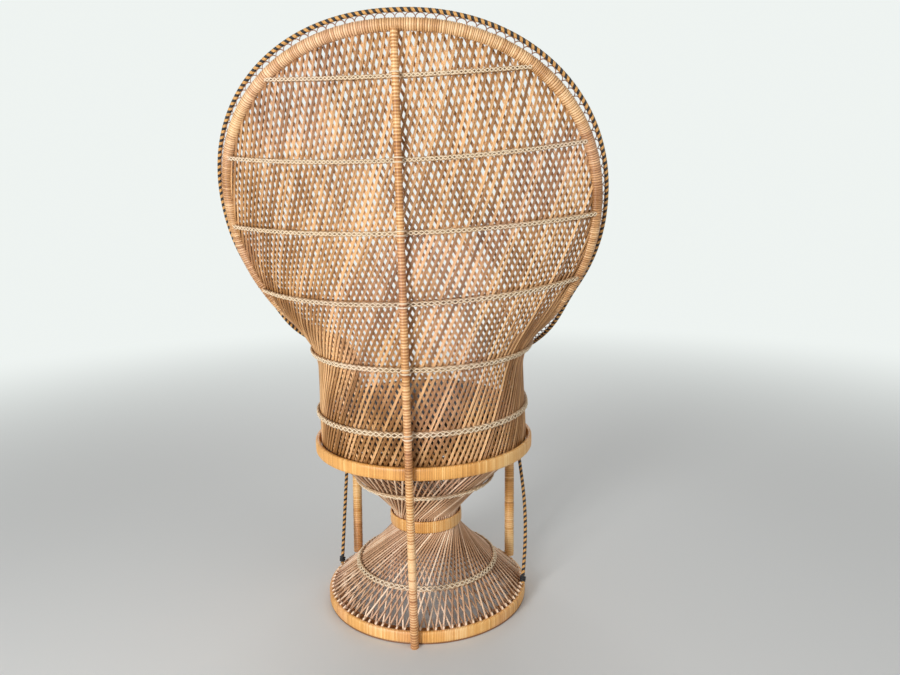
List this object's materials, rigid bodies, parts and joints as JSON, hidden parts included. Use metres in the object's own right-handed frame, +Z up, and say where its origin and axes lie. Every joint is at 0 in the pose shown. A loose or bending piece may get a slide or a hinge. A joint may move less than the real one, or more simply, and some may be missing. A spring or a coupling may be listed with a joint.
{
  "type": "peacock chair",
  "caption": "Woven cane peacock chair with a round fan back, barrel seat with a loose cushion, hourglass base and a two-colour rope along its rim.",
  "frame": {"origin": "on the floor, under the middle of the chair's outline", "axes": "+Z up, the open front of the chair towards -Y, the spine pole towards +Y"},
  "size_m": [0.9184, 0.6312, 1.4644],
  "materials": {
    "cane": "satin wrapped cane",
    "reed": "matte reed",
    "twine": "matte twisted fibre",
    "rope": "black and natural twisted rope",
    "cloth": "dark woven cloth"
  },
  "bodies": {
    "chair": {"base_ring": "cane", "base_clamp_hoop": "cane", "waist_band": "cane", "base_outer_strands_right": "reed", "base_outer_strands_rear": "reed", "base_outer_strands_left": "reed", "base_outer_strands_front": "reed", "base_inner_strands": "reed", "base_band_lower": "twine", "base_band_upper": "twine", "seat_ring": "cane", "seat_clamp_hoop": "cane", "seat_deck_lower": "reed", "seat_deck_upper": "reed", "seat_bearer_cross": "cane", "seat_bearer_long": "cane", "fan_hoop": "cane", "arm_rail_left": "cane", "front_post_left": "cane", "arm_rail_right": "cane", "front_post_right": "cane", "spine_pole": "cane", "back_outer_strands_1": "reed", "back_outer_strands_2": "reed", "back_outer_strands_3": "reed", "back_outer_strands_4": "reed", "back_outer_strands_arm": "reed", "back_outer_strands_hoop": "reed", "back_inner_strands_seat": "reed", "back_inner_strands_arm": "reed", "back_inner_strands_hoop": "reed", "back_band_1": "twine", "back_band_2": "twine", "back_band_3": "twine", "back_band_4": "twine", "back_band_5": "twine", "back_band_6": "twine", "spine_lashing_1": "twine", "spine_lashing_2": "twine", "spine_lashing_3": "twine", "spine_lashing_4": "twine", "spine_lashing_5": "twine", "spine_lashing_6": "twine", "trim_rope_fan": "rope", "trim_lacing_fan": "cane", "trim_rope_left": "rope", "trim_lacing_left": "cane", "trim_rope_right": "rope", "trim_lacing_right": "cane"},
    "cushion": {"seat_cushion": "cloth"}
  },
  "joints": [
    {"name": "cushion_lift", "type": "slide", "parent": "chair", "child": "cushion", "axis": [0, 0, 1], "range_m": [0, 0.25]}
  ]
}
